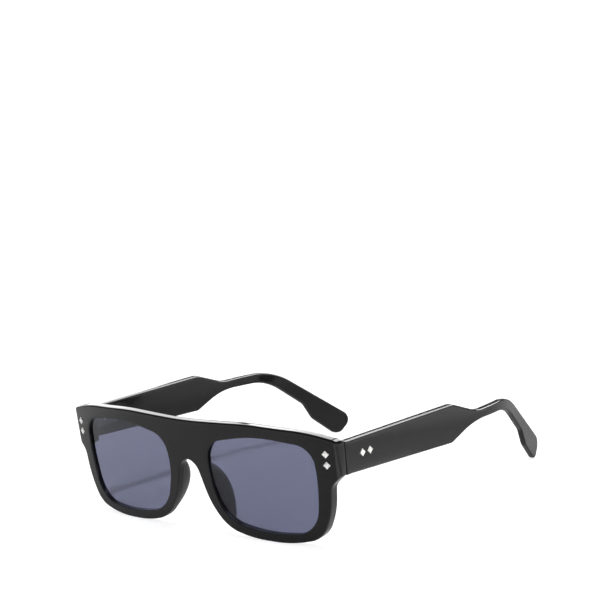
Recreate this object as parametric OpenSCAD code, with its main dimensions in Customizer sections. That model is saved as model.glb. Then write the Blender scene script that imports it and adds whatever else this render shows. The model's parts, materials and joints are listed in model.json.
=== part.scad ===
// Rectangular sunglasses: a flat-topped acetate front, two smoke lenses,
// bonded nose pads, riveted five-barrel hinges and folding temples.
// X runs across the face, -Y is the way the wearer looks, Z is up.
// The glasses stand open on a table, on both rims and both temple tips.

/* [Lens openings] */
// Width of one lens opening
eye_w = 51.7; // [46:0.1:58]
// Height of one lens opening
eye_h = 37.8; // [33:0.1:42]
// Distance between the two lens openings
bridge_w = 22.2; // [18:0.1:26]

/* [Front] */
// Width of the brow bar above a lens opening
rim_top = 5.2; // [3.5:0.1:8]
// Width of the rim below a lens opening
rim_bottom = 3.65; // [2.4:0.05:6]
// Width of the rim beside a lens opening, at half height
rim_side = 4.4; // [3:0.1:7]
// Width of the endpiece beside a lens opening
end_w = 9.8; // [8:0.1:13]
// Width of the rim between nose and lens opening, at half height
rim_nose = 5.0; // [3.5:0.1:7]
// Thickness of the front
front_t = 3.5; // [3.1:0.1:5]
// Radius that the front is bent to, near the bridge
face_r = 505; // [300:5:900]
// Extra set-back of the face at 70 mm from the middle
face_wrap = 2.7; // [0:0.1:4]
// Radius of the upright edge between face and endpiece side
end_edge_r = 1.6; // [0.5:0.1:2.8]
// Forward lean of the front, in degrees
lean = 4.7; // [0:0.1:9]

/* [Joint] */
// Depth of the joint behind the face at the bridge
joint_depth = 9.6; // [9:0.1:12]
// Height of the endpiece and of the temple at the joint
joint_h = 12.95; // [11:0.05:15]
// Drop from the top of the front to the endpiece
end_drop = 5.5; // [4:0.1:8]
// Length of the thick endpiece along the back of the front
end_len = 11.5; // [10:0.1:14]
// Step down from the endpiece to the temple
joint_step = 0.1; // [0:0.05:0.8]
// Gap between endpiece and temple
joint_gap = 0.12; // [0.05:0.01:0.3]

/* [Lenses] */
// Thickness of a lens
lens_t = 1.8; // [1.4:0.1:2.1]
// Depth of the lens surface behind the front face
lens_inset = 1.1; // [0.5:0.1:1.1]
// Depth of the groove that holds the lens edge
groove_d = 0.6; // [0.3:0.1:0.9]
// Clearance of a lens in its groove
lens_gap = 0.04; // [0.02:0.01:0.1]

/* [Nose pads] */
// Height of a nose pad lobe behind the rim
pad_h = 7.0; // [4:0.1:9]
// Length of a nose pad along the rim
pad_len = 24; // [16:0.5:27]

/* [Temples] */
// Thickness of a temple blade
temple_t = 3.5; // [3.2:0.1:5]
// Thickness of a temple at its tip
tip_t = 2.7; // [2.4:0.1:3.5]
// Length of the straight blade, from joint to upper corner
blade_len = 64.4; // [50:0.2:80]
// Fall of the top of the blade from the joint to its upper corner
blade_fall = 0.2; // [0:0.1:1]
// Height of the blade below its upper corner
blade_h = 15.4; // [13:0.1:18]
// Drop from the top of the blade at the joint to the arm behind it
arm_drop = 6.5; // [4:0.1:8]
// Height of the arm behind the blade
arm_h = 4.2; // [3.6:0.1:5.5]
// Distance from the upper corner to where the temple bends down
ear_len = 42.4; // [36:0.2:50]
// Angle of the drop behind the ear, in degrees
drop_angle = 38; // [32:0.5:46]
// Height of the upper corner of the tip above the table
tip_high = 5.95; // [4.5:0.05:8]
// Radius of the inward bow behind the ears
bow_r = 100; // [80:1:140]
// Steepest inward slope of the bow, in degrees
bow_slope = 20; // [10:0.5:28]
// Diameter of the wire core inside a temple
core_d = 1.4; // [1:0.1:1.8]

/* [Hinges] */
// Radius of a hinge barrel
barrel_r = 1.5; // [1.3:0.05:1.8]
// Height of one hinge barrel
barrel_h = 1.7; // [1.2:0.05:1.9]
// Gap between neighbouring barrels
barrel_gap = 0.05; // [0.02:0.01:0.1]
// Clearance of a barrel to the acetate and plate beside it
barrel_free = 0.16; // [0.1:0.02:0.4]
// Thickness of a hinge plate
plate_t = 0.9; // [0.6:0.05:1.2]
// Length of the temple's hinge plate behind its last rivet
plate_end = 2.2; // [1.4:0.1:4]
// Radius of the screw shank
screw_r = 0.6; // [0.5:0.05:0.7]
// Radius of the screw head
screw_head_r = 1.05; // [0.9:0.05:1.15]
// Height of the screw head
screw_head_h = 0.7; // [0.5:0.05:0.9]
// Width and depth of the screw slot
slot = 0.3; // [0.2:0.05:0.4]
// Radial running clearance on the screw
screw_play = 0.04; // [0.01:0.01:0.08]

/* [Rivets] */
// Corner to corner size of a diamond rivet head
diamond = 2.9; // [2:0.1:3.6]
// Height of a rivet head above the surface
head_h = 0.4; // [0.2:0.05:0.8]
// Radius of a rivet shank
shank_r = 0.6; // [0.4:0.05:0.8]
// Clearance of a rivet or plate in its seat
seat_gap = 0.02; // [0.01:0.01:0.05]
// Distance between two rivets of a pair
rivet_pitch = 4.3; // [3.4:0.1:5]
// Distance from the outer side of the endpiece to its rivets
front_rivet_in = 4.85; // [4:0.05:6]
// Distance from the joint to the first temple rivet
temple_rivet_at = 9.5; // [7:0.1:12]

/* [Hidden] */
$fn = 48;

black = [0.17, 0.17, 0.18];
blade_black = [0.25, 0.25, 0.26];
smoke = [0.45, 0.46, 0.56, 0.8];
silver = [0.86, 0.86, 0.84];
steel = [0.66, 0.67, 0.69];

// Edges of the left lens opening and of the front, in the plane of the front:
// x across, h up along the front from the bottom of the rims
eye_in = bridge_w / 2;
eye_out = eye_in + eye_w;
eye_mid = eye_in + eye_w / 2;
eye_bot = rim_bottom;
eye_top = eye_bot + eye_h;
eye_half = eye_bot + eye_h / 2;
side_x = eye_out + rim_side;
end_x = eye_out + end_w;
nose_x = eye_in - rim_nose;
front_h = eye_top + rim_top;

// Height band of the endpiece and the joint at its back, as the glasses stand
end_high = front_h - end_drop;
end_low = end_high - joint_h;
joint_y = joint_depth;

// Hinge line: its place beside the temple and behind the endpiece
temple_in = end_x - temple_t;
hinge_x = temple_in - barrel_r - barrel_free;
hinge_y = joint_y + barrel_r + barrel_free;
hinge_z = (end_low + end_high) / 2;
barrel_step = barrel_h + barrel_gap;
stack_h = 5 * barrel_h + 4 * barrel_gap;

wire_r = core_d / 2;

// Corner with radius p[2] between its neighbours a and b, as a list of points
function unit(v) = v / norm(v);
function turn(a) = a > 180 ? a - 360 : a < -180 ? a + 360 : a;
function flat(p) = [p[0], p[1]];
function corner(a, p, b) =
  p[2] == 0 ? [flat(p)] :
  let(
    u = unit(flat(a) - flat(p)),
    v = unit(flat(b) - flat(p)),
    half = acos(u * v) / 2,
    room = 0.48 * min(norm(flat(a) - flat(p)), norm(flat(b) - flat(p))),
    cut = min(p[2] / tan(half), room),
    r = cut * tan(half),
    c = flat(p) + unit(u + v) * r / sin(half),
    s = flat(p) + u * cut - c,
    e = flat(p) + v * cut - c,
    start = atan2(s[1], s[0]),
    sweep = turn(atan2(e[1], e[0]) - start),
    n = max(2, ceil(abs(sweep) / 9)))
  [for (i = [0:n]) c + r * [cos(start + sweep * i / n), sin(start + sweep * i / n)]];
function rounded(pts) =
  let(n = len(pts))
  [for (i = [0:n - 1]) each corner(pts[(i + n - 1) % n], pts[i], pts[(i + 1) % n])];

// Outline of corners moved outwards by d, with each radius grown by d
function side_normal(a, b) = let(t = unit(flat(b) - flat(a))) [t[1], -t[0]];
function grown(pts, d) =
  let(n = len(pts))
  [for (i = [0:n - 1])
    let(
      m = side_normal(pts[(i + n - 1) % n], pts[i]),
      k = side_normal(pts[i], pts[(i + 1) % n]),
      q = flat(pts[i]) + d * (m + k) / (1 + m * k))
    [q[0], q[1], pts[i][2] + d]];

// Lens opening, anticlockwise seen from the front
eye = [
  [eye_mid, eye_bot - 0.66, 120],
  [eye_out - 3.0, eye_bot + 1.2, 12],
  [eye_out + 0.05, eye_half + 1.8, 75],
  [eye_out - 0.7, eye_top - 2.4, 8.6],
  [eye_mid - 0.8, eye_top + 0.9, 150],
  [eye_in + 1.3, eye_top - 3.6, 12],
  [eye_in - 0.9, eye_half + 2.5, 60],
  [eye_in + 4.9, eye_bot + 3.4, 17]];

// Left half of the outline of the front, and the other half as its mirror image
half_outline = [
  [0, front_h - 0.95, 300],
  [eye_mid - 4, front_h + 0.05, 143],
  [eye_out - 2.8, front_h - 1.6, 90],
  [end_x, front_h - 5.0, 2.6],
  [end_x - 0.2, end_low - 0.35, 0.8],
  [side_x + 1.2, end_low - 4.2, 4.7],
  [side_x - 0.15, eye_half - 8.95, 42],
  [side_x - 5.25, 2.7, 11.4],
  [eye_mid + 10.15, -0.25, 62],
  [eye_mid - 7.4, 0.4, 64],
  [nose_x + 10.85, 3.3, 17],
  [nose_x + 3.2, eye_half - 10, 30],
  [nose_x - 1.45, eye_half + 4.85, 6],
  [0, eye_half + 7.85, 8]];
other_half = [for (i = [len(half_outline) - 2:-1:1])
  [-half_outline[i][0], half_outline[i][1], half_outline[i][2]]];
outline = rounded(concat(half_outline, other_half));

// Set-back of the face at distance x from the middle, and its rounded upright edge
function sag(x) = x * x / (2 * face_r) + face_wrap * pow(x / 70, 4);
function edge_fall(x) =
  let(e = abs(x) - (end_x - end_edge_r))
  e <= 0 ? 0 : end_edge_r - sqrt(max(0, end_edge_r * end_edge_r - e * e));
function face_y(x) = sag(x) + edge_fall(x);
half_x = concat([for (i = [0:14]) (end_x - end_edge_r) * i / 14],
  [for (a = [18:18:90]) end_x - end_edge_r + end_edge_r * sin(a)]);
all_x = concat([for (i = [len(half_x) - 1:-1:1]) -half_x[i]], half_x);
face_line = [for (x = all_x) [x, face_y(x)]];
function sag_line(off) = [for (i = [len(all_x) - 1:-1:0]) [all_x[i], sag(all_x[i]) + off]];

// Plane of the front: leaned forward and set down on the bottom of the rims
rest_drop = min([for (p = outline) sag(p[0]) * sin(lean) + p[1] * cos(lean)]);
module leaned() {
  translate([0, 0, -rest_drop]) rotate([lean, 0, 0]) children();
}
// Slab with the outline pts in the plane of the front, deeper than the front
slab_front = -10;
slab_back = 40;
module slab(pts) {
  translate([0, slab_back, 0]) rotate([90, 0, 0]) linear_extrude(slab_back - slab_front) polygon(pts);
}
// Curved sheet that follows the face, from depth d0 to d1 behind it
module sheet(d0, d1) {
  low = [for (x = all_x) [x, sag(x) + d0]];
  translate([0, 0, -5]) linear_extrude(front_h + 10) polygon(concat(low, sag_line(d1)));
}
// Everything behind the face, with the rounded upright edges
module behind_face(depth) {
  translate([0, 0, -5]) linear_extrude(front_h + 10)
    polygon(concat(face_line, [[end_x, depth], [-end_x, depth]]));
}
// The union of a shape and its mirror image
module both_sides() {
  children();
  mirror([1, 0, 0]) children();
}

// Left endpiece block that thickens the front back to the joint
end_x0 = end_x - end_len;
module end_block() {
  translate([end_x0, 0, 0]) rotate([90, 0, 90]) linear_extrude(end_len)
    polygon([[-6, end_low - 0.2], [joint_y, end_low], [joint_y, end_high], [-6, end_high + 1.4]]);
}
// Plan of the endpiece block, which runs out into the back of the front
module end_plan() {
  translate([0, 0, end_low - 4]) linear_extrude(joint_h + 8)
    polygon([[end_x0, -6], [end_x + 1, -6], [end_x + 1, joint_y],
      [end_x0 + 1.9, joint_y], [end_x0, joint_y - 1.8]]);
}
// Room that the front and its rivets may fill, up to the joint
module before_joint() {
  translate([end_x0 - 1, slab_front, 0]) cube([end_len + 3, joint_y - slab_front, front_h]);
}
// Space behind the joint, which belongs to the temple
module behind_joint() {
  translate([end_x0 - 1, joint_y, end_low - 3]) cube([end_len + 3, 10, joint_h + 7]);
}

// Line of a front rivet: square to the face at its place, pointing inwards
rivet_x = end_x - front_rivet_in;
rivet_turn = atan(rivet_x / face_r + 4 * face_wrap / 70 * pow(rivet_x / 70, 3));
rivet_mid_h = hinge_z - 0.1;
module on_front_rivet(side) {
  leaned() translate([rivet_x, sag(rivet_x), rivet_mid_h + side * rivet_pitch / 2])
    rotate([0, 0, rivet_turn]) rotate([-90, 0, 0]) children();
}
shank_len = joint_y;
// Line of a temple rivet: square to the outer side of the temple, pointing inwards
module on_temple_rivet(place) {
  translate([end_x, joint_y + temple_rivet_at + place * rivet_pitch, hinge_z])
    rotate([0, -90, 0]) children();
}
// Diamond head: a flat rim with a lower pyramid stump on it
module diamond_head() {
  half = diamond / 2;
  rim_h = head_h * 0.55;
  translate([0, 0, -rim_h]) linear_extrude(rim_h)
    polygon([[half, 0], [0, half], [-half, 0], [0, -half]]);
  translate([0, 0, -rim_h]) rotate([180, 0, 0])
    cylinder(h = head_h - rim_h, r1 = half * 0.94, r2 = half * 0.62, $fn = 4);
}

// Front hinge leaf: a plate let into the back of the endpiece, with three barrels
plate_x0 = eye_out;
plate_x1 = hinge_x + barrel_r;
module front_plate(grow) {
  translate([plate_x0 - grow, joint_y - plate_t - grow, hinge_z - stack_h / 2 - grow])
    cube([plate_x1 - plate_x0 + 2 * grow, plate_t + grow * 2, stack_h + 2 * grow]);
}
module barrel(i) {
  translate([hinge_x, hinge_y, hinge_z + i * barrel_step - barrel_h / 2])
    cylinder(h = barrel_h, r = barrel_r);
}
neck_w = 2 * barrel_r - 0.5;
module front_neck(i) {
  translate([hinge_x - neck_w / 2, joint_y - plate_t / 2, hinge_z + i * barrel_step - barrel_h / 2])
    cube([neck_w, hinge_y - joint_y + plate_t / 2, barrel_h]);
}
// Temple hinge leaf: a plate let into the inner side of the temple, with two barrels
leaf_end_y = joint_y + temple_rivet_at + rivet_pitch + plate_end;
leaf_h = 3 * barrel_h + 2 * barrel_gap + 0.2;
module temple_plate(grow) {
  y0 = hinge_y - neck_w / 2;
  translate([temple_in - grow, y0 - grow, hinge_z - leaf_h / 2 - grow])
    cube([plate_t + 2 * grow, leaf_end_y - y0 + 2 * grow, leaf_h + 2 * grow]);
}
module temple_neck(i) {
  translate([hinge_x, hinge_y - neck_w / 2, hinge_z + i * barrel_step - barrel_h / 2])
    cube([temple_in + plate_t / 2 - hinge_x, neck_w, barrel_h]);
}
// Bore along the hinge line
module hinge_bore(r) {
  translate([hinge_x, hinge_y, hinge_z - stack_h / 2 - 1]) cylinder(h = stack_h + 2, r = r);
}

// Side outline of a temple: y from the joint back, z up
top_z = end_high - joint_step;
corner_y = joint_y + blade_len;
bend_y = corner_y + ear_len;
bend_z = top_z - arm_drop;
tip_y = bend_y + (bend_z - tip_high) / tan(drop_angle);
temple_side = [
  [joint_y + joint_gap, top_z, 0.3],
  [corner_y, top_z - blade_fall, 6],
  [corner_y + 15.2, bend_z + 0.4, 20],
  [bend_y, bend_z, 28],
  [tip_y, tip_high, 4.5],
  [tip_y - 7.8, -1.1, 3.6],
  [tip_y - 18.8, 8.65, 5.9],
  [tip_y - 22.6, 16.05, 5],
  [bend_y - 2.8, bend_z - arm_h, 24],
  [corner_y + 13.6, bend_z + 0.8 - arm_h, 45],
  [corner_y - 1.4, top_z - blade_fall - blade_h, 3.2],
  [joint_y + joint_gap, top_z - joint_h, 0.3]];

// Plan of a temple: straight, then bowed inwards on an arc, then straight again
bow_y = corner_y + 11.5;
arc_len = bow_r * sin(bow_slope);
function bow(y) =
  let(d = max(0, y - bow_y), a = min(d, arc_len))
  bow_r - sqrt(bow_r * bow_r - a * a) + max(0, d - arc_len) * tan(bow_slope);
bow_ys = concat([joint_y - 3, bow_y], [for (i = [1:8]) bow_y + arc_len * i / 8], [tip_y + 8]);
function middle_x(y) = end_x - temple_t / 2 - bow(y);
function thickness(y) = temple_t - (temple_t - tip_t) * max(0, y - bow_y) / (tip_y - bow_y);
function temple_edge(side) = [for (y = bow_ys) [middle_x(y) + side * thickness(y) / 2, y]];
function backwards(pts) = [for (i = [len(pts) - 1:-1:0]) pts[i]];
module temple_blank() {
  intersection() {
    rotate([90, 0, 90]) linear_extrude(end_x + 1) polygon(rounded(temple_side));
    translate([0, 0, -5]) linear_extrude(front_h + 10)
      polygon(concat(temple_edge(1), backwards(temple_edge(-1))));
  }
}

// Wire core: a rod along the middle of a temple, swept through points [y, z]
wire_route = [
  [leaf_end_y + 1.5, hinge_z], [leaf_end_y + 20, hinge_z - 0.3], [corner_y - 8, bend_z - 1.2],
  [corner_y + 4, bend_z - 1.6], [corner_y + 16, bend_z - 1.7], [bend_y - 12, bend_z - 2.1],
  [bend_y - 5, bend_z - 3.1], [bend_y + 1, bend_z - 5.4], [bend_y + 7, bend_z - 9.6],
  [tip_y - 16, tip_high + 9.4], [tip_y - 8, tip_high + 1.6]];
function wire_point(k) =
  [middle_x(wire_route[k][0]), wire_route[k][0], wire_route[k][1]];
wire_n = len(wire_route);
function wire_dir(k) =
  unit(wire_point(min(wire_n - 1, k + 1)) - wire_point(max(0, k - 1)));
module wire(r, reach) {
  pts = [for (k = [0:wire_n - 1])
    let(
      t = wire_dir(k),
      s = unit(cross(t, [1, 0, 0])),
      w = cross(s, t),
      push = k == 0 ? -reach : k == wire_n - 1 ? reach : 0)
    for (i = [0:7]) wire_point(k) + push * t + r * (cos(45 * i) * s + sin(45 * i) * w)];
  sides = [for (k = [0:wire_n - 2]) for (i = [0:7])
    let(a = 8 * k + i, b = 8 * k + (i + 1) % 8)
    each [[a, b, b + 8], [a, b + 8, a + 8]]];
  first = [for (i = [1:6]) [0, i + 1, i]];
  last = [for (i = [1:6]) [8 * (wire_n - 1), 8 * (wire_n - 1) + i, 8 * (wire_n - 1) + i + 1]];
  polyhedron(pts, concat(sides, first, last));
}

// Nose pad: a lobe lofted down the nose side of the rim, seated on its back
pad_top = eye_half + 6.4;
pad_rings = 12;
pad_steps = 10;
function nose_edge(h) =
  let(a = nose_x - 1, k = (eye_half + 6.5 - h) / (eye_half + 4.1))
  a + 2.6 * k + 9.1 * pow(max(0, k), 2.3);
function pad_point(j, i) =
  let(
    s = j / pad_rings,
    h = pad_top - pad_len * s,
    grow = pow(sin(180 * pow(min(0.995, max(0.005, s)), 0.8)), 0.8),
    inner = nose_edge(h) + 0.9 + 1.3 * (1 - grow),
    w = 0.5 + 2.2 * grow,
    a = 180 * i / pad_steps,
    lift = pow(sin(a), 0.8),
    x = inner + w + w * cos(180 - a) + 0.7 * grow * lift)
  [x, (i == 0 || i == pad_steps) ? front_t - 1.5 : front_t + 0.3 + (pad_h - 0.3) * grow * lift, h];
module pad_lobe() {
  row = pad_steps + 1;
  pts = [for (j = [0:pad_rings]) for (i = [0:pad_steps]) pad_point(j, i)];
  sides = [for (j = [0:pad_rings - 1]) for (i = [0:pad_steps])
    let(a = row * j + i, b = row * j + (i + 1) % row)
    each [[a, b, b + row], [a, b + row, a + row]]];
  top = [[for (i = [pad_steps:-1:0]) i]];
  bottom = [[for (i = [0:pad_steps]) row * pad_rings + i]];
  polyhedron(pts, concat(sides, top, bottom));
}

module front_frame() {
  color(black) difference() {
    intersection() {
      union() {
        leaned() intersection() {
          sheet(0, front_t);
          behind_face(slab_back);
        }
        both_sides() intersection() {
          leaned() behind_face(slab_back);
          end_block();
          end_plan();
        }
      }
      leaned() slab(outline);
    }
    both_sides() {
      behind_joint();
      leaned() slab(rounded(eye));
      leaned() intersection() {
        slab(rounded(grown(eye, groove_d)));
        sheet(lens_inset - lens_gap, lens_inset + lens_t + lens_gap);
      }
      front_plate(seat_gap);
      for (side = [-1, 1]) on_front_rivet(side) cylinder(h = shank_len, r = shank_r + seat_gap);
    }
  }
}
module lens() {
  color(smoke) leaned() intersection() {
    slab(rounded(grown(eye, groove_d - lens_gap)));
    sheet(lens_inset, lens_inset + lens_t);
  }
}
module nose_pad() {
  color(black) leaned() intersection() {
    pad_lobe();
    sheet(front_t, front_t + 20);
  }
}
module front_hinge_leaf() {
  color(steel) difference() {
    union() {
      front_plate(0);
      for (i = [-2, 0, 2]) {
        barrel(i);
        front_neck(i);
      }
    }
    hinge_bore(screw_r + seat_gap);
    translate([hinge_x, hinge_y, hinge_z + stack_h / 2 - screw_head_h])
      cylinder(h = 2, r = screw_head_r + seat_gap);
    for (side = [-1, 1]) on_front_rivet(side) cylinder(h = shank_len + 2, r = shank_r + seat_gap);
  }
}
module hinge_screw() {
  color(silver) difference() {
    union() {
      translate([hinge_x, hinge_y, hinge_z - stack_h / 2]) cylinder(h = stack_h, r = screw_r);
      translate([hinge_x, hinge_y, hinge_z + stack_h / 2 - screw_head_h])
        cylinder(h = screw_head_h, r = screw_head_r);
    }
    translate([hinge_x - 2, hinge_y - slot / 2, hinge_z + stack_h / 2 - slot]) cube([4, slot, 1]);
  }
}
module front_rivet(side) {
  color(silver) {
    on_front_rivet(side) diamond_head();
    intersection() {
      on_front_rivet(side) translate([0, 0, -0.1]) cylinder(h = shank_len + 2, r = shank_r);
      before_joint();
    }
  }
}
module temple() {
  color(blade_black) difference() {
    temple_blank();
    temple_plate(seat_gap);
    for (place = [0, 1]) on_temple_rivet(place) translate([0, 0, -1])
      cylinder(h = temple_t + 2, r = shank_r + seat_gap);
    wire(wire_r + seat_gap, seat_gap);
  }
}
module temple_hinge_leaf() {
  color(steel) difference() {
    union() {
      temple_plate(0);
      for (i = [-1, 1]) {
        barrel(i);
        temple_neck(i);
      }
    }
    hinge_bore(screw_r + screw_play);
    for (place = [0, 1]) on_temple_rivet(place) cylinder(h = temple_t + 2, r = shank_r + seat_gap);
  }
}
module temple_rivet(place) {
  color(silver) on_temple_rivet(place) {
    diamond_head();
    cylinder(h = temple_t, r = shank_r);
  }
}
module core_wire() {
  color(steel) wire(wire_r, 0);
}

// Set-back that centres the open glasses on the origin
front_end_y = min([for (p = outline) sag(p[0]) * cos(lean) - p[1] * sin(lean)]);
back_end_y = max([for (p = rounded(temple_side)) p[0]]);
module placed() {
  translate([0, -(front_end_y + back_end_y) / 2, 0]) children();
}

placed() front_frame();
placed() lens();  // lens_left
placed() mirror([1, 0, 0]) lens();  // lens_right
placed() nose_pad();  // nose_pad_left
placed() mirror([1, 0, 0]) nose_pad();  // nose_pad_right
placed() front_hinge_leaf();  // front_hinge_leaf_left
placed() mirror([1, 0, 0]) front_hinge_leaf();  // front_hinge_leaf_right
placed() front_rivet(1);  // front_rivet_upper_left
placed() front_rivet(-1);  // front_rivet_lower_left
placed() mirror([1, 0, 0]) front_rivet(1);  // front_rivet_upper_right
placed() mirror([1, 0, 0]) front_rivet(-1);  // front_rivet_lower_right
placed() hinge_screw();  // hinge_screw_left
placed() mirror([1, 0, 0]) hinge_screw();  // hinge_screw_right
placed() temple();  // temple_left
placed() mirror([1, 0, 0]) temple();  // temple_right
placed() core_wire();  // core_wire_left
placed() mirror([1, 0, 0]) core_wire();  // core_wire_right
placed() temple_hinge_leaf();  // temple_hinge_leaf_left
placed() mirror([1, 0, 0]) temple_hinge_leaf();  // temple_hinge_leaf_right
placed() temple_rivet(0);  // temple_rivet_front_left
placed() temple_rivet(1);  // temple_rivet_rear_left
placed() mirror([1, 0, 0]) temple_rivet(0);  // temple_rivet_front_right
placed() mirror([1, 0, 0]) temple_rivet(1);  // temple_rivet_rear_right
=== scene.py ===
import json
import math
import bmesh
import bpy
import numpy as np
from mathutils import Matrix


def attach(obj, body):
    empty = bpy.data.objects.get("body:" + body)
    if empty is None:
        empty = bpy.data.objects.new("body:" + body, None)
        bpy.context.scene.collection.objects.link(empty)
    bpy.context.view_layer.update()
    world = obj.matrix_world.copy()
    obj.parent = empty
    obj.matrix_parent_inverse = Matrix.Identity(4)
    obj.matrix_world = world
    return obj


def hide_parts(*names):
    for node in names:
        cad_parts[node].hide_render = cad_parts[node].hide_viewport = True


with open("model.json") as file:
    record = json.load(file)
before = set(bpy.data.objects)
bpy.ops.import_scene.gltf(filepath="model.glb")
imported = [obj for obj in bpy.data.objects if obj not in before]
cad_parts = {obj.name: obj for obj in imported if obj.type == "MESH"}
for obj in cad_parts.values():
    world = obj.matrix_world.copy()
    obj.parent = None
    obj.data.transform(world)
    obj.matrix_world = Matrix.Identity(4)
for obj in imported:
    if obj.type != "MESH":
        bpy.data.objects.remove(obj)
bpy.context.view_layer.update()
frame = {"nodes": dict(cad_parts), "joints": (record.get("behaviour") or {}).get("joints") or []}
print("frame loaded:", len(frame["nodes"]), "nodes")

# Lengths of the pieces are millimetres, as on a maker's drawing; meshes are scaled to metres as they are made
mm = 0.001

# What all pieces of the front share: the bent face, its lean and where it stands
frontPlace = {
    "faceRadius": 505.0,      # the front is bent to this radius near the bridge
    "faceWrap": 2.7,          # extra set-back of the face,
    "wrapAt": 70.0,           # reached this far from the middle
    "lean": 4.7,              # forward lean, degrees
    "restDrop": 0.170656,     # the rims are set down on the table by this
    "hingeBack": 11.26,       # the hinge line is this far behind the face at the bridge
}
hingeAt = next(j["pos_m"] for j in frame["joints"] if j["name"] == "fold_left")
setBack = hingeAt[1] / mm - frontPlace["hingeBack"]
leanSin = math.sin(math.radians(frontPlace["lean"]))
leanCos = math.cos(math.radians(frontPlace["lean"]))


def sag(x):
    # Set-back of the bent face at distance x from the middle: x squared over twice the radius, and the wrap,
    # which grows with the fourth power of x
    return x * x / (2 * frontPlace["faceRadius"]) + frontPlace["faceWrap"] * (x / frontPlace["wrapAt"]) ** 4


def leaned(x, depth, h):
    # From the plane of the front (across, depth behind it, height along it) to the place on the table,
    # in metres: depth and height are turned by the lean
    y = depth * leanCos - h * leanSin + setBack
    z = depth * leanSin + h * leanCos - frontPlace["restDrop"]
    return np.stack(np.broadcast_arrays(x, y, z), axis=-1) * mm


def smooth(t):
    # 0 below 0, 1 above 1, and an even S between them
    t = np.clip(t, 0.0, 1.0)
    return t * t * (3 - 2 * t)


# Paths: polygons whose corners are rounded by arcs, as a cutter would follow them
pathRules = {
    "cutShare": 0.48,         # most of a side that the arc at one of its ends may use
    "search": 0.05,           # step in which the point nearest to a spot is looked for
    "samples": 1500,          # of a stretch, when its columns are shared out
    "bendPull": 3.2,          # how much closer columns stand for each unit of bend (one over the radius),
    "bendMost": 1.3,          # up to this bend
}
tiny = 1e-9                   # a length or bend below this counts as none
hair = 1e-6                   # how far short of a closed end the last place stands


def roundedPath(corners):
    # Each corner [x, y, r] becomes an arc of radius r that touches both its sides, with the room there is.
    # The path is a list of runs: straight ones and arcs, each with its start, its length and its turn.
    pts = np.array([c[:2] for c in corners], float)
    radii = np.array([c[2] for c in corners], float)
    toBack = np.roll(pts, 1, axis=0) - pts
    toNext = np.roll(pts, -1, axis=0) - pts
    backLen = np.linalg.norm(toBack, axis=1)
    nextLen = np.linalg.norm(toNext, axis=1)
    u = toBack / backLen[:, None]
    v = toNext / nextLen[:, None]
    half = np.arccos(np.clip((u * v).sum(1), -1, 1)) / 2
    cut = np.minimum(radii / np.tan(half), pathRules["cutShare"] * np.minimum(backLen, nextLen))
    r = cut * np.tan(half)
    start = pts + u * cut[:, None]
    end = pts + v * cut[:, None]
    side = np.sign(-u[:, 0] * v[:, 1] + u[:, 1] * v[:, 0])     # +1 where the path turns left
    sweep = (math.pi - 2 * half) * side
    heading = np.arctan2(-u[:, 1], -u[:, 0])
    straightLen = np.linalg.norm(np.roll(start, -1, axis=0) - end, axis=1)
    straightHead = np.arctan2(v[:, 1], v[:, 0])
    starts = np.stack([start, end], 1).reshape(-1, 2)
    length = np.stack([r * np.abs(sweep), straightLen], 1).reshape(-1)
    bend = np.stack([np.where(r > 0, side / np.maximum(r, tiny), 0), np.zeros(len(r))], 1).reshape(-1)
    head = np.stack([heading, straightHead], 1).reshape(-1)
    return {"start": starts, "length": length, "bend": bend, "head": head,
            "ends": np.concatenate([[0.0], np.cumsum(length)])}


def along(path, s):
    # Point, left-hand normal and bend at arc length s: on a run with bend k the heading grows by k per mm
    total = path["ends"][-1]
    s = np.mod(s, total)
    run = np.clip(np.searchsorted(path["ends"], s, side="right") - 1, 0, len(path["length"]) - 1)
    d = s - path["ends"][run]
    k = path["bend"][run]
    a = path["head"][run]
    straight = np.abs(k) < tiny
    safe = np.where(straight, 1.0, k)
    turned = a + k * d
    dx = np.where(straight, d * np.cos(a), (np.sin(turned) - np.sin(a)) / safe)
    dy = np.where(straight, d * np.sin(a), (np.cos(a) - np.cos(turned)) / safe)
    point = path["start"][run] + np.stack([dx, dy], -1)
    normal = np.stack([-np.sin(turned), np.cos(turned)], -1)
    return point, normal, np.abs(k)


def placeOn(path, spot):
    # Arc length of the point of the path that is nearest to a spot
    s = np.arange(0, path["ends"][-1], pathRules["search"])
    p = along(path, s)[0]
    return s[np.argmin(((p - np.array(spot)) ** 2).sum(1))]


def stations(path, fromS, toS, count):
    # count + 1 places from fromS to toS, at even steps of the summed weight, which is larger in the bends
    if toS <= fromS:
        toS += path["ends"][-1]
    s = np.linspace(fromS, toS, pathRules["samples"])
    weight = 1.0 + pathRules["bendPull"] * np.minimum(along(path, s)[2], pathRules["bendMost"])
    total = np.concatenate([[0.0], np.cumsum((weight[1:] + weight[:-1]) / 2)])
    return np.interp(np.linspace(0, total[-1], count + 1), total, s)


weldSize = 2e-7               # metres: points that round to the same multiples of this are one


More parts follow.
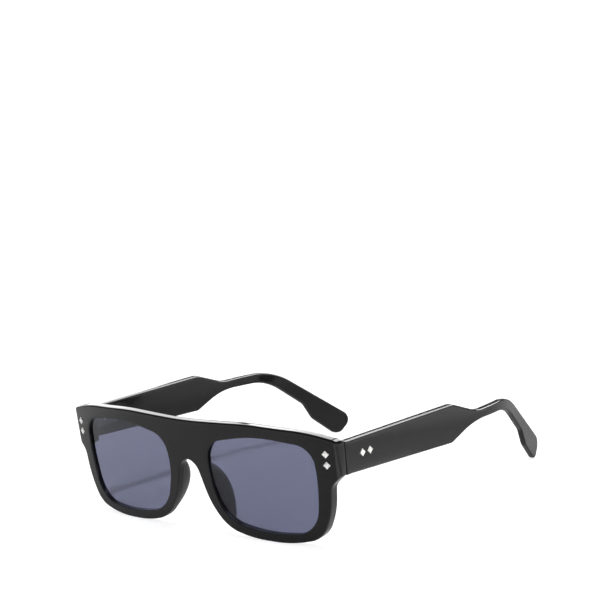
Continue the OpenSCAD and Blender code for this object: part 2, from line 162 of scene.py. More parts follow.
def weldedMesh(name, points, faces, sharpAngle):
    # Points that fall together become one, faces that lose a corner to this go, and the shell is turned
    # outwards. Edges that fold by more than sharpAngle degrees are shaded sharp.
    flat = points.reshape(-1, 3)
    key = np.round(flat / weldSize).astype(np.int64)
    _, first, back = np.unique(key, axis=0, return_index=True, return_inverse=True)
    back = back.reshape(-1)
    tri = back[faces]
    good = (tri[:, 0] != tri[:, 1]) & (tri[:, 1] != tri[:, 2]) & (tri[:, 2] != tri[:, 0])
    mesh = bpy.data.meshes.new(name)
    mesh.from_pydata(flat[first], [], tri[good].tolist())
    piece = bpy.data.objects.new(name, mesh)
    bpy.context.scene.collection.objects.link(piece)
    shell = bmesh.new()
    shell.from_mesh(mesh)
    bmesh.ops.recalc_face_normals(shell, faces=shell.faces)
    openEdges = sum(1 for e in shell.edges if len(e.link_faces) != 2)
    volume = shell.calc_volume(signed=True)
    if volume < 0:
        bmesh.ops.reverse_faces(shell, faces=shell.faces)
    shell.to_mesh(mesh)
    shell.free()
    mesh.polygons.foreach_set("use_smooth", np.ones(len(mesh.polygons), bool))
    mesh.set_sharp_from_angle(angle=math.radians(sharpAngle))
    print(f"{name}: {len(mesh.polygons)} faces, {openEdges} open edges, {abs(volume) / mm ** 3:.0f} mm3")
    return piece


def gridFaces(rows, cols, closedCols=False):
    # Two triangles for each cell of a grid whose points are numbered row by row; closed, it meets its start
    i = np.arange(rows - 1)[:, None]
    j = np.arange(cols if closedCols else cols - 1)[None, :]
    i2, j2 = i + 1, (j + 1) % cols
    a, b, c, d = i * cols + j, i * cols + j2, i2 * cols + j2, i2 * cols + j
    one = np.stack(np.broadcast_arrays(a, b, c), -1).reshape(-1, 3)
    two = np.stack(np.broadcast_arrays(a, c, d), -1).reshape(-1, 3)
    return np.concatenate([one, two])


def joined(parts):
    # Several grids as one list of points and faces
    points, faces, first = [], [], 0
    for p, f in parts:
        points.append(p.reshape(-1, 3))
        faces.append(f + first)
        first += len(points[-1])
    return np.concatenate(points), np.concatenate(faces)


def mirrored(points, faces):
    # The mirror image on the wearer's right, x for -x, with its faces turned round
    return points * np.array([-1.0, 1.0, 1.0]), faces[:, ::-1]


def bothSides(points, faces):
    # The wearer's left as it is made, and the right as its mirror image
    return [("left", (points, faces)), ("right", mirrored(points, faces))]


def blendOver(value, span):
    # 0 up to the start of a span, 1 past its length
    start, length = span
    return smooth((value - start) / length)


def shifted(p, n, by):
    # A row of places for each row of distances: the places p moved along their normals n by the distance
    return p[None] + by[..., None] * n[None]


def quarterTurn(rows):
    # Angles of a quarter circle, one to a row
    return np.linspace(0, math.pi / 2, rows)[:, None]


# The front: one acetate sheet with two lens openings, thick endpieces and rounded edges
front = {
    "eyeWidth": 51.7, "eyeHeight": 37.8, "bridge": 22.2,
    "rimTop": 5.2, "rimBottom": 3.65, "rimSide": 4.4, "rimNose": 5.0, "endWidth": 9.8,
    "thickness": 3.5,
    "endEdgeRadius": 1.6,     # upright edge between face and endpiece side
    "edgeRadius": 0.75,       # rounding of the outer front edge along the top
    "lowEdgeRadius": 0.38,    # and round the rims
    "eyeEdgeRadius": 0.55,    # rounding of the openings' edges
    "backEdgeRadius": 0.6,
    "jointEdgeRadius": 0.25,  # the endpiece's back edge, where the temple meets it
    "jointDepth": 9.6, "jointHeight": 12.95, "endDrop": 5.5,
    "endBlockFrom": 61.1, "endBlockRamp": 1.9,
    # The endpiece's side starts this far below the top, ends this far below its foot and draws in by the last
    "endShoulder": 5.0, "endFoot": 0.35, "endTaper": 0.2,
    "jointClear": 0.03,       # the acetate stands this much back from the hinge plate's flush face
    "lensInset": 1.1, "lensThickness": 1.8, "grooveDepth": 0.6, "lensClear": 0.04,
    # Start and length of each change of an edge: by distance from the middle to the endpiece's, by height
    # above its foot to the joint's, by facing up to the top's, and by facing sideways to the upright's
    "sideSpan": (69.0, 2.5), "jointSpan": (-3.0, 2.5), "topSpan": (0.3, 0.5), "uprightSpan": (0.72, 0.26),
    "leastTurn": 0.9,         # the face's border is drawn in by at least this share of the low edge's radius
    "faceBias": 1.7,          # above 1, the face's rows stand closer together near the outline
    "faceRows": 18, "edgeRows": 7, "backEdgeRows": 5, "wallRows": 3, "sharpAngle": 38.0,
}
eyeIn = front["bridge"] / 2
eyeOut = eyeIn + front["eyeWidth"]
eyeMid = (eyeIn + eyeOut) / 2
eyeBot = front["rimBottom"]
eyeTop = eyeBot + front["eyeHeight"]
eyeHalf = (eyeBot + eyeTop) / 2
sideX = eyeOut + front["rimSide"]
endX = eyeOut + front["endWidth"]
noseX = eyeIn - front["rimNose"]
frontHigh = eyeTop + front["rimTop"]
endHigh = frontHigh - front["endDrop"]
endLow = endHigh - front["jointHeight"]

# Corners of a lens opening, clockwise seen from the front, with their radii
eyeCorners = [
    [eyeIn - 0.9, eyeHalf + 2.5, 60], [eyeIn + 1.3, eyeTop - 3.6, 12], [eyeMid - 0.8, eyeTop + 0.9, 150],
    [eyeOut - 0.7, eyeTop - 2.4, 8.6], [eyeOut + 0.05, eyeHalf + 1.8, 75], [eyeOut - 3.0, eyeBot + 1.2, 12],
    [eyeMid, eyeBot - 0.66, 120], [eyeIn + 4.9, eyeBot + 3.4, 17]]
# Corners of the outline on the wearer's left, from the middle of the top round to the middle of the bridge
halfOutline = [
    [0, frontHigh - 0.95, 300], [eyeMid - 4, frontHigh + 0.05, 143], [eyeOut - 2.8, frontHigh - 1.6, 90],
    [endX, frontHigh - front["endShoulder"], 2.6],
    [endX - front["endTaper"], endLow - front["endFoot"], 0.8], [sideX + 1.2, endLow - 4.2, 4.7],
    [sideX - 0.15, eyeHalf - 8.95, 42], [sideX - 5.25, 2.7, 11.4], [eyeMid + 10.15, -0.25, 62],
    [eyeMid - 7.4, 0.4, 64], [noseX + 10.85, 3.3, 17], [noseX + 3.2, eyeHalf - 10, 30],
    [noseX - 1.45, eyeHalf + 4.85, 6], [0, eyeHalf + 7.85, 8]]
otherHalf = [[-c[0], c[1], c[2]] for c in halfOutline[-2:0:-1]]
eyePath = roundedPath(eyeCorners)
outlinePath = roundedPath(halfOutline + otherHalf)


def sideLine(h):
    # Where the endpiece's side stands at height h: it draws in evenly from its shoulder to its foot
    shoulder = frontHigh - front["endShoulder"]
    return endX - front["endTaper"] * (shoulder - h) / (shoulder - endLow + front["endFoot"])


def faceDepth(x, h):
    # Depth of the bent face, which falls away on a quarter circle at the endpiece's upright edge
    r = front["endEdgeRadius"]
    e = np.clip(np.abs(x) - (sideLine(h) - r), 0, r)
    return sag(x) + r - np.sqrt(r * r - e * e)


def jointPlane(h):
    # Depth of the upright joint plane behind the leaned face, which grows with height by the lean
    return (front["jointDepth"] - front["jointClear"] + h * leanSin) / leanCos


def backDepth(x, h, block):
    # The back of the sheet, and where block is 1 the endpiece, which ramps up to the joint plane
    sheet = sag(x) + front["thickness"]
    ramp = jointPlane(h) - np.maximum(0.0, front["endBlockFrom"] + front["endBlockRamp"] - x)
    return sheet + block * np.maximum(0.0, ramp - sheet)


# Pairs of spots on the outline and on the opening's edge that face each other, and how many columns lie up to
# the next pair; the last number says whether the columns from here on carry the thick endpiece
frontKeys = [
    [(0, frontHigh - 0.9), (eyeIn + 4.2, eyeTop - 2.3), 62, 0],
    [(eyeMid - 4, frontHigh), (eyeMid - 4, eyeTop), 54, 0],
    [(eyeOut - 2.8, frontHigh - 1.8), (eyeOut - 6.5, eyeTop - 1.4), 26, 0],
    [(endX - 1.3, frontHigh - 4.8), (eyeOut - 4.2, eyeTop - 2.7), 14, 0],
    [(endX, endHigh - 0.6), (eyeOut - 3.6, eyeTop - 3.05), 1, 0],
    [(endX, endHigh - 0.8), (eyeOut - 3.4, eyeTop - 3.2), 32, 1],
    [(endX - 0.35, endLow - 0.6), (eyeOut - 0.2, eyeHalf + 5.0), 1, 1],
    [(endX - 0.6, endLow - 0.85), (eyeOut - 0.2, eyeHalf + 4.8), 26, 0],
    [(sideX + 0.9, endLow - 4.4), (eyeOut - 0.3, eyeHalf + 1.3), 24, 0],
    [(sideX - 0.6, eyeHalf - 7), (eyeOut - 1.6, eyeHalf - 7.4), 40, 0],
    [(sideX - 5.6, 2.6), (eyeOut - 4.6, eyeBot + 3.4), 60, 0],
    [(eyeMid, -0.5), (eyeMid, eyeBot - 0.4), 44, 0],
    [(noseX + 10.9, 3.2), (eyeIn + 6.4, eyeBot + 3.6), 34, 0],
    [(noseX + 1.4, eyeHalf - 5.3), (eyeIn + 0.1, eyeHalf - 5.3), 26, 0],
    [(noseX - 1.9, eyeHalf + 5.4), (eyeIn - 0.6, eyeHalf + 5.0), 16, 0],
    [(0, eyeHalf + 7.4), (eyeIn - 0.2, eyeHalf + 9.4), 30, 0],
]


def frontColumns():
    # Outer and inner stations that face each other, key pair by key pair; the last stretch, which climbs the
    # middle line, has only inner ones
    outer, inner, block = [], [], []
    for n, (spotOut, spotIn, count, thick) in enumerate(frontKeys):
        nextOut, nextIn = frontKeys[(n + 1) % len(frontKeys)][:2]
        inner.append(stations(eyePath, placeOn(eyePath, spotIn), placeOn(eyePath, nextIn), count)[:-1])
        block.append(np.full(count, float(thick)))
        if n < len(frontKeys) - 1:
            fromS, toS = placeOn(outlinePath, spotOut), placeOn(outlinePath, nextOut)
            outer.append(stations(outlinePath, fromS, toS, count)[:-1])
    return np.concatenate(outer), np.concatenate(inner), np.concatenate(block)


def outlineStrip(p, n, block):
    # The outer wall, carried along the outline with its points p and normals n: a quarter circle out of the
    # face, the wall, and a quarter circle into the back. The borders of face and back come with it.
    low, backEdge = front["lowEdgeRadius"], front["backEdgeRadius"]
    onSide = blendOver(p[:, 0], front["sideSpan"])
    upright = onSide * blendOver(n[:, 0], front["uprightSpan"])
    nearJoint = onSide * blendOver(p[:, 1] - endLow, front["jointSpan"])
    frontR = (low + (front["edgeRadius"] - low) * blendOver(n[:, 1], front["topSpan"])) * (1 - upright)
    backR = backEdge + (front["jointEdgeRadius"] - backEdge) * nearJoint
    t = quarterTurn(front["edgeRows"])
    frontTurn = shifted(p, n, -np.maximum(frontR, low * front["leastTurn"]) * (1 - np.sin(t)))
    frontD = faceDepth(frontTurn[..., 0], frontTurn[..., 1]) + frontR * (1 - np.cos(t))
    edgeBack = backDepth(p[:, 0], p[:, 1], block)
    wallBack = edgeBack - backR
    w = np.linspace(0, 1, front["wallRows"] + 2)[1:-1, None]
    wall = shifted(p, n, 0 * w)
    wallD = frontD[-1] + (wallBack - frontD[-1]) * w
    b = quarterTurn(front["backEdgeRows"])
    backTurn = shifted(p, n, -backR * (1 - np.cos(b)))
    fall = backDepth(backTurn[..., 0], backTurn[..., 1], block) - edgeBack
    backD = wallBack + (backR + fall) * np.sin(b)
    rows = np.concatenate([frontTurn, wall, backTurn])
    strip = leaned(rows[..., 0], np.concatenate([frontD, wallD, backD]), rows[..., 1])
    return strip, frontTurn[0], backTurn[-1], backD[-1]


def openingRows(sIn, block):
    # Round the opening, from face to back: a quarter circle out of the face, the groove that holds the lens,
    # and a quarter circle into the back. Its path runs clockwise, so its normals point into the acetate.
    p, n, _ = along(eyePath, sIn)
    r = front["eyeEdgeRadius"]
    t = quarterTurn(front["edgeRows"])
    fromFace = shifted(p, n, r * (1 - np.sin(t)))
    fromFaceD = faceDepth(fromFace[..., 0], fromFace[..., 1]) + r * (1 - np.cos(t))
    lip = front["lensInset"] - front["lensClear"]
    lipBack = front["lensInset"] + front["lensThickness"] + front["lensClear"]
    deep = front["grooveDepth"]
    groove = shifted(p, n, np.array([0.0, deep, deep, 0.0])[:, None])
    grooveD = np.array([lip, lip, lipBack, lipBack])[:, None] + sag(groove[..., 0])
    b = quarterTurn(front["backEdgeRows"])
    toBack = shifted(p, n, r * (1 - np.cos(b)))
    edgeBack = backDepth(p[:, 0], p[:, 1], block)
    fall = backDepth(toBack[..., 0], toBack[..., 1], block) - edgeBack
    toBackD = edgeBack - r + (r + fall) * np.sin(b)
    return np.concatenate([fromFace, groove, toBack]), np.concatenate([fromFaceD, grooveD, toBackD])


def frontHalf():
    # One half of the front: columns run from the opening to the outline, and past its end to the middle line
    # between bridge and top; rows run over the face, through the opening and over the back
    sOut, sIn, block = frontColumns()
    rim = len(sOut)
    pOut, nOut, _ = along(outlinePath, sOut)
    pOut[0, 0] = 0.0
    nOut[0] = (0, 1)
    footH = along(outlinePath, placeOn(outlinePath, frontKeys[-1][0]))[0][1]
    headH = along(outlinePath, 0.0)[0][1]
    strip, faceBorder, backBorder, backBorderD = outlineStrip(
        np.concatenate([pOut, [[0.0, footH]]]), np.concatenate([nOut, [[0.0, -1.0]]]),
        np.concatenate([block[:rim], [0.0]]))
    # the middle line closes the ring of columns, from the bridge's foot up to the top
    climb = np.linspace(0, 1, len(sIn) - rim + 1)[:-1]
    low, top, backEdge = front["lowEdgeRadius"], front["edgeRadius"], front["backEdgeRadius"]
    frontLine = np.stack([0 * climb, footH + low + (headH - footH - low - top) * climb], -1)
    backLine = np.stack([0 * climb, footH + backEdge + (headH - footH - 2 * backEdge) * climb], -1)
    faceOuter = np.concatenate([faceBorder[:rim], frontLine])
    backOuter = np.concatenate([backBorder[:rim], backLine])
    faceOuterD = faceDepth(faceOuter[:, 0], faceOuter[:, 1])
    backOuterD = np.concatenate([backBorderD[:rim], backDepth(backLine[:, 0], backLine[:, 1], 0.0)])
    # straight rows over the face and the back, between the opening and the outline
    opening, openingD = openingRows(sIn, block)
    f = np.linspace(0, 1, front["faceRows"] + 1)[1:-1, None, None]
    face = opening[0] + (faceOuter - opening[0]) * (1 - (1 - f) ** front["faceBias"])
    back = opening[-1] + (backOuter - opening[-1]) * f
    faceD = faceDepth(face[..., 0], face[..., 1])
    backD = backDepth(back[..., 0], back[..., 1], block)
    rows = np.concatenate([faceOuter[None], face[::-1], opening, back, backOuter[None]])
    depth = np.concatenate([faceOuterD[None], faceD[::-1], openingD, backD, backOuterD[None]])
    ring = leaned(rows[..., 0], depth, rows[..., 1])
    return joined([
        (ring, gridFaces(*ring.shape[:2], closedCols=True)),
        (strip, gridFaces(*strip.shape[:2]))])


halfPoints, halfFaces = frontHalf()
wholeFront = joined([(halfPoints, halfFaces), mirrored(halfPoints, halfFaces)])
frontPiece = weldedMesh("frontSheet", *wholeFront, front["sharpAngle"])
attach(frontPiece, "front")
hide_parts("front_frame")
print("front made")


# The lenses: bent smoke sheets, whose edges sit in the grooves of the openings
lens = {
    "rings": 22, "columns": 220,
    "ringBias": 0.8,          # below 1, the rings stand closer together near the edge
    "edgeBevel": 0.12,
    "sharpAngle": 60.0,
}


def lensSurface():
    # The opening's edge drawn towards its middle in rings, at the depth of the groove: front, edge and back
    s = stations(eyePath, 0.0, eyePath["ends"][-1] - hair, lens["columns"])[:-1]
    p, n, _ = along(eyePath, s)
    reach = front["grooveDepth"] - front["lensClear"]
    bevel, t = lens["edgeBevel"], front["lensThickness"]
    middle = p.mean(0)
    f = np.linspace(0, 1, lens["rings"] + 1)[:, None, None] ** lens["ringBias"]
    disc = middle + (p + (reach - bevel) * n - middle) * f
    rim = (p + reach * n)[None]
    discD = sag(disc[..., 0]) + front["lensInset"]
    rimD = sag(rim[..., 0]) + front["lensInset"]
    rows = np.concatenate([disc, rim, rim, disc[::-1]])
    depth = np.concatenate([discD, rimD + bevel, rimD + t - bevel, discD[::-1] + t])
    grid = leaned(rows[..., 0], depth, rows[..., 1])
    return grid.reshape(-1, 3), gridFaces(*grid.shape[:2], closedCols=True)


lensPoints, lensFaces = lensSurface()
lensPieces = []
for side, shape in bothSides(lensPoints, lensFaces):
    piece = weldedMesh("smokeLens" + side.capitalize(), *shape, lens["sharpAngle"])
    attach(piece, "front")
    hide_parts("lens_" + side)
    lensPieces.append(piece)
print("lenses made")


# The nose pads: solid lobes bonded behind the rims, fullest above their middle
pad = {
    "height": 7.0, "length": 24.8,
    "lift": 0.2,              # the lobe stands this much higher than that, and starts
    "sink": 0.25,             # this much inside the back of the front
    "seat": 0.5,              # its base lies this deep in the front
    "top": 6.4,               # height of its upper end above the middle of the openings
    "halfWidth": 0.5, "swell": 2.2,      # half its width at the ends, and what the fullest place adds
    "fromEdge": 0.9, "endDraw": 1.3,     # its distance from the rim's nose side, and more at the ends
    "out": 0.7,               # how far the lobe leans outwards at its fullest
    "skew": 0.9,              # below 1, it is fullest above its middle
    "blunt": 0.003,           # its ends are as full as it is this share of its length further in
    "fullness": 0.7, "roundness": 0.8,   # powers of the sines along it and across it: lower is blunter
    "rings": 64, "steps": 28, "sharpAngle": 70.0,
}
# The curve of the rim's nose side, which the pads follow
noseSide = {"top": 6.5, "run": 4.1, "start": -1.0, "swing": 2.6, "flare": 9.1, "flarePower": 2.3}


def noseEdge(h):
    # The rim's nose side: k grows downwards from 0 at its top; the side swings out by k and by a power of k
    k = (eyeHalf + noseSide["top"] - h) / (eyeHalf + noseSide["run"])
    flare = noseSide["flare"] * np.maximum(0, k) ** noseSide["flarePower"]
    return noseX + noseSide["start"] + noseSide["swing"] * k + flare


def padSurface():
    # s runs down the rim and a across the lobe; the lobe swells as a power of a sine along both
    s = np.linspace(0, 1, pad["rings"] + 1)[:, None]
    a = np.linspace(0, math.pi, pad["steps"] + 1)[None, :]
    h = eyeHalf + pad["top"] - pad["length"] * s + 0 * a
    grow = np.sin(math.pi * np.clip(s, pad["blunt"], 1 - pad["blunt"]) ** pad["skew"]) ** pad["fullness"]
    lift = np.sin(np.clip(a, hair, math.pi - hair)) ** pad["roundness"]
    w = pad["halfWidth"] + pad["swell"] * grow
    base = noseEdge(h) + pad["fromEdge"] + pad["endDraw"] * (1 - grow)
    x = base + w - w * np.cos(a) + pad["out"] * grow * lift
    y = front["thickness"] - pad["sink"] + (pad["height"] + pad["lift"]) * grow * lift
    y[:, [0, -1]] = front["thickness"] - pad["seat"]

    def capped(q):
        # closes both ends with a row that stands at the mean of the last one
        ends = [np.repeat(row.mean(1, keepdims=True), q.shape[1], axis=1) for row in (q[:1], q[-1:])]
        return np.concatenate([ends[0], q, ends[1]])

    grid = leaned(capped(x), capped(y), capped(h))
    return grid.reshape(-1, 3), gridFaces(*grid.shape[:2], closedCols=True)


padPoints, padFaces = padSurface()
padPieces = []
for side, shape in bothSides(padPoints, padFaces):
    piece = weldedMesh("nosePad" + side.capitalize(), *shape, pad["sharpAngle"])
    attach(piece, "front")
    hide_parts("nose_pad_" + side)
    padPieces.append(piece)
print("nose pads made")


# The temples: wide flat blades, necked behind the hinge end, then a slim arm that drops behind the ear
temple = {
    "thickness": 3.5, "tipThickness": 2.7,
    "bladeLength": 64.4, "bladeFall": 0.2, "bladeHeight": 15.4,
    "armDrop": 6.5, "armHeight": 4.2, "earLength": 42.4, "dropAngle": 38.0, "tipHigh": 5.95,
    "bowRadius": 100.0, "bowSlope": 20.0, "bowFrom": 11.5,
    "jointStep": 0.1, "jointGap": 0.12,
    "edgeRadius": 0.75,       # rounding of the long edges
    "crown": 6.0,             # the narrow sides are arcs that fall away by this many degrees to both edges
    "endRadius": 0.22,        # rounding at the joint's end face
    "endSpan": (0.3, 3.0),    # start and length of the change to the larger rounding, from the end face
    "plateClear": 0.03,       # the acetate stands this much back from the hinge plate's flush face
    "sideRows": 12, "edgeRows": 9, "crownRows": 5, "sharpAngle": 50.0,
}
jointY = front["jointDepth"]
topZ = endHigh - temple["jointStep"]
cornerY = jointY + temple["bladeLength"]
bendY = cornerY + temple["earLength"]
bendZ = topZ - temple["armDrop"]
tipY = bendY + (bendZ - temple["tipHigh"]) / math.tan(math.radians(temple["dropAngle"]))
bowY = cornerY + temple["bowFrom"]
cornerZ = topZ - temple["bladeFall"]
startY = jointY + temple["jointGap"]
# Corners of a temple seen from its outer side, from the joint's top round to the joint's foot
templeCorners = [
    [startY, topZ, 0.3], [cornerY, cornerZ, 6], [cornerY + 15.2, bendZ + 0.4, 20], [bendY, bendZ, 28],
    [tipY, temple["tipHigh"], 4.5], [tipY - 7.8, -1.1, 3.6], [tipY - 18.8, 8.65, 5.9],
    [tipY - 22.6, 16.05, 5],
    [bendY - 2.8, bendZ - temple["armHeight"], 24], [cornerY + 13.6, bendZ + 0.8 - temple["armHeight"], 45],
    [cornerY - 1.4, cornerZ - temple["bladeHeight"], 3.2], [startY, topZ - front["jointHeight"], 0.3]]
templePath = roundedPath(templeCorners)


def templeMiddle(y):
    # Distance of the temple's middle plane from the nose: straight, bowed in on an arc, then straight again
    r, slope = temple["bowRadius"], math.radians(temple["bowSlope"])
    d = np.maximum(0, y - bowY)
    a = np.minimum(d, r * math.sin(slope))
    bow = r - np.sqrt(r * r - a * a) + np.maximum(0, d - r * math.sin(slope)) * math.tan(slope)
    return endX - temple["thickness"] / 2 - bow


def templeHalf(y):
    # Half the thickness, which thins evenly from the bow to the tip
    thin = temple["thickness"] - temple["tipThickness"]
    return (temple["thickness"] - thin * np.maximum(0, y - bowY) / (tipY - bowY)) / 2


# Spots on the upper and the lower edge of a temple that face each other, and the columns up to the next pair
templeKeys = [
    [(startY, topZ - 6.5), (startY, topZ - 6.5), 10],
    [(startY + 0.2, topZ), (startY + 0.2, topZ - 12.9), 50],
    [(cornerY - 2, cornerZ), (cornerY - 3, cornerZ - 15), 26],
    [(cornerY + 14, bendZ + 0.9), (cornerY + 12, bendZ - 3.2), 26],
    [(bendY - 6, bendZ), (bendY - 5, bendZ - 4.3), 30],
    [(bendY + 14, bendZ - 10), (tipY - 23.6, 17.5), 14],
    [(tipY - 12, 14.8), (tipY - 19.4, 9.75), 22],
    [(tipY - 0.8, 5.4), (tipY - 8.8, 0.1), 14],
    [(tipY - 3.8, 2.2), (tipY - 3.8, 2.2), 0],
]


def templeSurface():
    # An upper and a lower run of columns from the joint to the tip: a flat side between them on either face,
    # and one wall round both
    upper, lower = [], []
    for (upA, lowA, count), (upB, lowB, _) in zip(templeKeys[:-1], templeKeys[1:]):
        upper.append(stations(templePath, placeOn(templePath, upA), placeOn(templePath, upB), count)[:-1])
        back = stations(templePath, placeOn(templePath, lowB), placeOn(templePath, lowA), count)
        lower.append(back[::-1][:-1])
    end = placeOn(templePath, templeKeys[-1][0])
    up = np.concatenate(upper)
    low = np.concatenate(lower)[1:]
    p, n, _ = along(templePath, np.concatenate([up, [end], low[::-1]]))
    endR = temple["endRadius"]
    r = endR + (temple["edgeRadius"] - endR) * blendOver(p[:, 0] - startY, temple["endSpan"])
    # the wall's profile by its tilt: an arc over the narrow side, then a small circle into each face
    crown = math.radians(temple["crown"])
    turn = np.linspace(crown, math.pi / 2, temple["edgeRows"])
    overArc = np.linspace(crown, -crown, temple["crownRows"] + 2)[1:-1]
    tilt = np.concatenate([turn[::-1], overArc, -turn])[:, None]
    onArc = np.minimum(np.abs(tilt), crown)
    half = templeHalf(p[:, 0])
    far = (half - r) / math.sin(crown)
    rows = shifted(p, n, far * (np.cos(onArc) - 1) + r * (np.cos(tilt) - 1))
    thick = templeHalf(rows[..., 0])
    fromMiddle = np.sign(tilt) * (far * np.sin(onArc) + r * np.abs(np.sin(tilt))) * thick / half
    fromMiddle = np.where(tilt < 0, fromMiddle * (1 - temple["plateClear"] / thick), fromMiddle)

    def place(yz, offX):
        # from the temple's side view, with a distance from its middle plane, to metres on the table
        return np.stack([templeMiddle(yz[..., 0]) + offX, yz[..., 0] + setBack, yz[..., 1]], -1) * mm

    wall = place(rows, fromMiddle)
    edgeLine = rows[0]
    m = len(up)
    high = edgeLine[:m + 1]
    under = np.concatenate([edgeLine[:1], edgeLine[:m - 1:-1]])
    f = np.linspace(0, 1, temple["sideRows"] + 1)[:, None, None]
    flat = high[None] * (1 - f) + under[None] * f
    outerSide = place(flat, templeHalf(flat[..., 0]))
    innerSide = place(flat, -(templeHalf(flat[..., 0]) - temple["plateClear"]))
    return joined([
        (wall, gridFaces(*wall.shape[:2], closedCols=True)),
        (outerSide, gridFaces(*flat.shape[:2])),
        (innerSide, gridFaces(*flat.shape[:2]))])


templePoints, templeFaces = templeSurface()
templePieces = []
for side, shape in bothSides(templePoints, templeFaces):
    piece = weldedMesh("templeArm" + side.capitalize(), *shape, temple["sharpAngle"])
    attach(piece, "temple_arm_" + side)
    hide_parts("temple_" + side)
    templePieces.append(piece)
print("temples made")


# Materials: sizes of their patterns are millimetres, depths of their relief metres


def linear(code, alpha=1.0):
    # sRGB hex to linear colour: a small share of the value near black, else a power of it
    c = np.array([int(code[i:i + 2], 16) for i in (1, 3, 5)]) / 255
    return (*np.where(c <= 0.04045, c / 12.92, ((c + 0.055) / 1.055) ** 2.4), alpha)


def addNode(tree, kind, settings=None, values=None, links=None):
    # One node of a kind: its settings, the constants on its sockets, and for each linked socket the node and
    # the output that it takes its value from
    node = tree.nodes.new(kind)
    for name, value in (settings or {}).items():
        setattr(node, name, value)
    for name, value in (values or {}).items():
        node.inputs[name].default_value = value
    for name, (source, output) in (links or {}).items():
        tree.links.new(source.outputs[output], node.inputs[name])
    return node


def newMaterial(name):
    # A material without nodes, and its tree to fill
    material = bpy.data.materials.new(name)
    material.use_nodes = True
    material.node_tree.nodes.clear()
    return material, material.node_tree


def perMetre(sizeMm):
    # Noise scale whose cells are about this many millimetres on Object coordinates, which are metres
    return 1.0 / (sizeMm * mm)


acetateFinish = {
    "cloud": {"Detail": 3.0, "Roughness": 0.55},
    "haze": {"Scale": perMetre(0.8), "Detail": 2.0},
    "glossLeast": 0.8, "glossMost": 1.25,          # shares of the roughness between which the haze varies it
    "waves": {"Scale": perMetre(7.0), "Detail": 1.0},
    "relief": {"Strength": 0.25, "Distance": 0.00003},
    "shader": {"IOR": 1.48, "Specular IOR Level": 0.5},
}


def polishedAcetate(name, dark, light, roughness, cloudMm):
    # Cellulose acetate, cut from sheet and tumble polished: even black with a wet gloss, faint clouds of
    # pigment and the slight waviness that the tumbling leaves
    finish = acetateFinish
    material, tree = newMaterial(name)
    place = addNode(tree, "ShaderNodeTexCoord")
    clouds = addNode(tree, "ShaderNodeTexNoise", {}, {"Scale": perMetre(cloudMm), **finish["cloud"]},
                     {"Vector": (place, "Object")})
    colour = addNode(tree, "ShaderNodeMix", {"data_type": "RGBA"}, {6: linear(dark), 7: linear(light)},
                     {0: (clouds, "Fac")})
    haze = addNode(tree, "ShaderNodeTexNoise", {}, finish["haze"], {"Vector": (place, "Object")})
    gloss = addNode(tree, "ShaderNodeMapRange", {},
                    {"To Min": roughness * finish["glossLeast"], "To Max": roughness * finish["glossMost"]},
                    {"Value": (haze, "Fac")})
    waves = addNode(tree, "ShaderNodeTexNoise", {}, finish["waves"], {"Vector": (place, "Object")})
    bump = addNode(tree, "ShaderNodeBump", {}, finish["relief"], {"Height": (waves, "Fac")})
    shader = addNode(tree, "ShaderNodeBsdfPrincipled", {}, finish["shader"],
                     {"Base Color": (colour, 2), "Roughness": (gloss, "Result"), "Normal": (bump, "Normal")})
    addNode(tree, "ShaderNodeOutputMaterial", {}, {}, {"Surface": (shader, "BSDF")})
    return material


lensFinish = {
    "foot": "#60637a", "head": "#65687f",          # tint at the foot and a lighter one at the top: a painted gradient of light
    "paintedLightFade": {"From Min": 0.006, "From Max": 0.04},           # between these heights, metres
    "shadow": "#a0a4b4",
    "shader": {"IOR": 1.5, "Specular IOR Level": 0.22, "Roughness": 0.0, "Transmission Weight": 1.0},
}


def smokeTint():
    # Tinted cast sheet, ground and polished: clear, blue-grey, and it lets a soft shadow through; the tint is
    #     # painted lighter towards the top, a painted gradient of light
    finish = lensFinish
    material, tree = newMaterial("smokeTintedLens")
    place = addNode(tree, "ShaderNodeTexCoord")
    split = addNode(tree, "ShaderNodeSeparateXYZ", {}, {}, {"Vector": (place, "Object")})
    # painted light: the tint grows lighter with height
    paintedLightFade = addNode(tree, "ShaderNodeMapRange", {}, finish["paintedLightFade"], {"Value": (split, "Z")})
    tintWithPaintedLight = addNode(tree, "ShaderNodeMix", {"data_type": "RGBA"},
                   {6: linear(finish["foot"]), 7: linear(finish["head"])}, {0: (paintedLightFade, "Result")})
    shader = addNode(tree, "ShaderNodeBsdfPrincipled", {}, finish["shader"], {"Base Color": (tintWithPaintedLight, 2)})
    through = addNode(tree, "ShaderNodeBsdfTransparent", {}, {"Color": linear(finish["shadow"])})
    rays = addNode(tree, "ShaderNodeLightPath")
    both = addNode(tree, "ShaderNodeMixShader", {}, {},
                   {0: (rays, "Is Shadow Ray"), 1: (shader, "BSDF"), 2: (through, "BSDF")})
    addNode(tree, "ShaderNodeOutputMaterial", {}, {}, {"Surface": (both, "Shader")})
    return material


silverFinishPaintedSheen = {
    "grain": {"Scale": perMetre(0.25), "Detail": 2.0},
    "gloss": {"To Min": 0.22, "To Max": 0.38},
    "relief": {"Strength": 0.2, "Distance": 0.00002},
    # little of it mirrors: mostly white paint, a painted sheen that stays where nothing bright faces them
    "shader": {"Base Color": linear("#fbfaf7"), "Metallic": 0.2},
}


